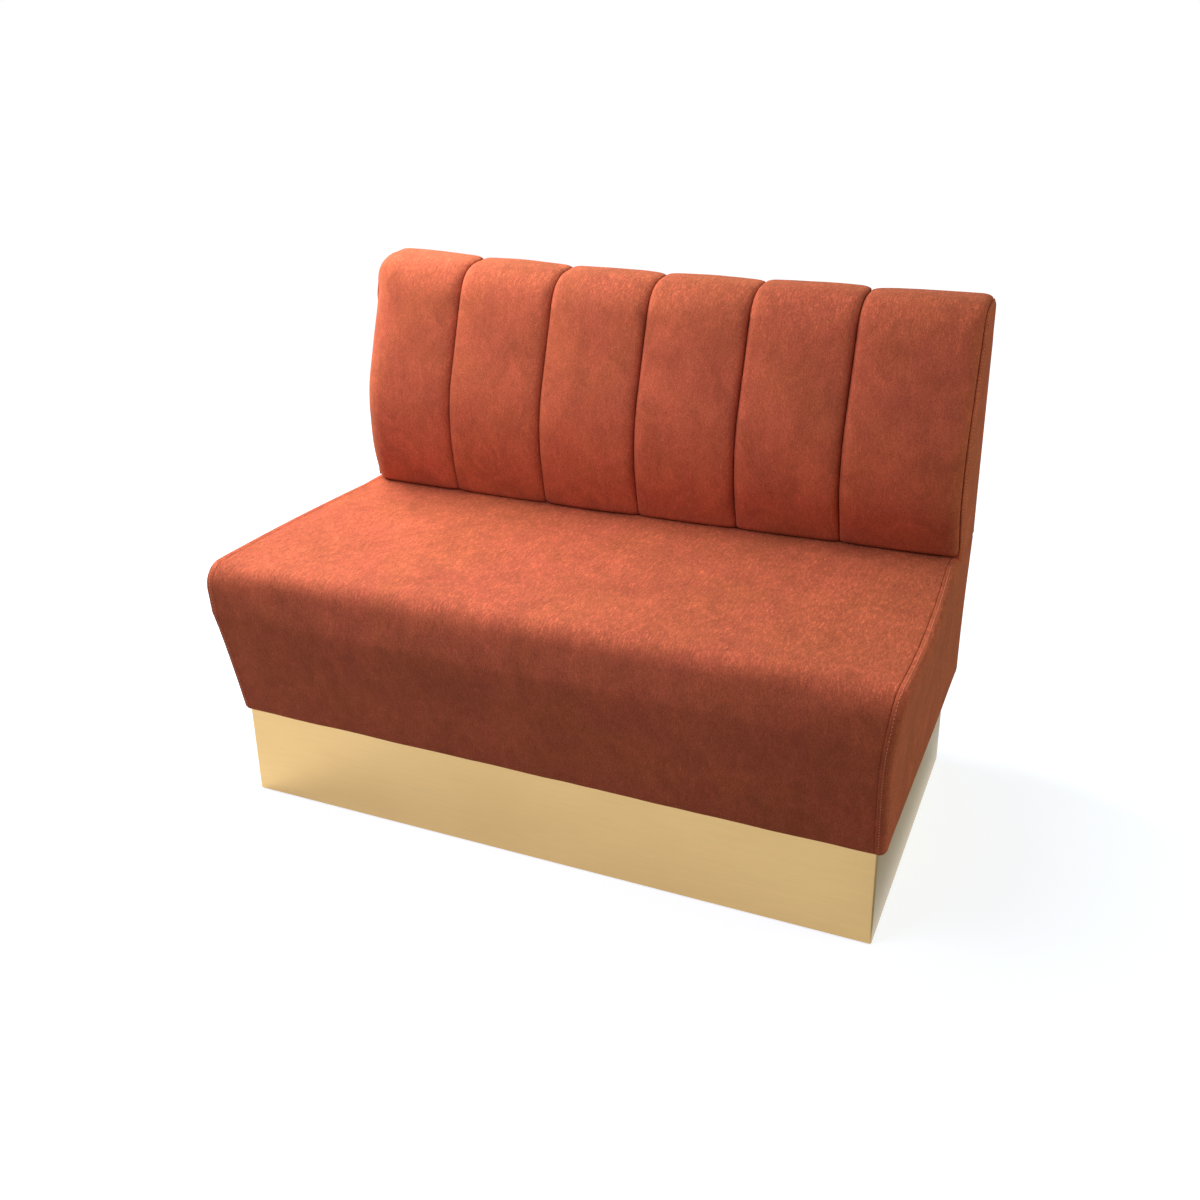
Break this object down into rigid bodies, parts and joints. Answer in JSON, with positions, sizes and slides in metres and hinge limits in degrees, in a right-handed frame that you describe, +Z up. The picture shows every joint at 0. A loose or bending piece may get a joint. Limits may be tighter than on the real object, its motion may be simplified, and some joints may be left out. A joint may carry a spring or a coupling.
{
  "type": "restaurant bench",
  "caption": "Upholstered restaurant bench with a fluted back, a rounded seat and a brass-finished plinth.",
  "frame": {"origin": "on the floor, under the middle of the bench's width and depth", "axes": "+X along the bench, to the right for someone facing it; +Y from the seat's front towards the wall behind it; +Z up"},
  "size_m": [1.2, 0.6899, 0.9099],
  "materials": {
    "rust_fabric": "matte",
    "foam": "matte",
    "plywood": "matte",
    "timber": "matte",
    "hardboard": "matte",
    "satin_brass": "satin",
    "zinc_steel": "satin",
    "black_plastic": "matte"
  },
  "bodies": {
    "bench": {"seat_cover": "rust_fabric", "seat_left_end_cover": "rust_fabric", "seat_right_end_cover": "rust_fabric", "seat_rear_cover": "rust_fabric", "back_left_end_cover": "rust_fabric", "back_right_end_cover": "rust_fabric", "back_rear_cover": "rust_fabric", "back_channel_1": "rust_fabric", "back_channel_2": "rust_fabric", "back_channel_3": "rust_fabric", "back_channel_4": "rust_fabric", "back_channel_5": "rust_fabric", "back_channel_6": "rust_fabric", "seat_foam": "foam", "seat_front_pad": "foam", "seat_left_end_pad": "foam", "seat_right_end_pad": "foam", "back_left_end_pad": "foam", "back_right_end_pad": "foam", "plinth_front_board": "plywood", "plinth_left_board": "plywood", "plinth_right_board": "plywood", "plinth_rear_board": "plywood", "plinth_cross_rail": "plywood", "seat_left_gable": "plywood", "seat_right_gable": "plywood", "seat_centre_rib": "plywood", "seat_front_board": "plywood", "seat_rear_board": "plywood", "seat_riser": "plywood", "seat_shelf": "plywood", "seat_deck": "plywood", "back_left_rib": "plywood", "back_right_rib": "plywood", "back_centre_rib": "plywood", "back_bottom_board": "plywood", "back_skin": "plywood", "plinth_front_cleat": "timber", "plinth_rear_cleat": "timber", "plinth_foot_blocks": "timber", "seat_front_batten": "timber", "seat_rear_batten": "timber", "back_top_rail": "timber", "back_rear_panel": "hardboard", "plinth_cladding": "satin_brass", "foot_sockets": "zinc_steel", "back_bolts": "zinc_steel", "back_nuts": "zinc_steel", "plinth_bolts": "zinc_steel", "plinth_nuts": "zinc_steel"},
    "foot_front_left": {"foot_stem_front_left": "zinc_steel", "foot_pad_front_left": "black_plastic"},
    "foot_front_right": {"foot_stem_front_right": "zinc_steel", "foot_pad_front_right": "black_plastic"},
    "foot_rear_left": {"foot_stem_rear_left": "zinc_steel", "foot_pad_rear_left": "black_plastic"},
    "foot_rear_right": {"foot_stem_rear_right": "zinc_steel", "foot_pad_rear_right": "black_plastic"}
  },
  "joints": [
    {"name": "level_front_left", "type": "slide", "parent": "bench", "child": "foot_front_left", "axis": [0, 0, 1], "range_m": [-0.015, 0]},
    {"name": "level_front_right", "type": "slide", "parent": "bench", "child": "foot_front_right", "axis": [0, 0, 1], "range_m": [-0.015, 0]},
    {"name": "level_rear_left", "type": "slide", "parent": "bench", "child": "foot_rear_left", "axis": [0, 0, 1], "range_m": [-0.015, 0]},
    {"name": "level_rear_right", "type": "slide", "parent": "bench", "child": "foot_rear_right", "axis": [0, 0, 1], "range_m": [-0.015, 0]}
  ]
}
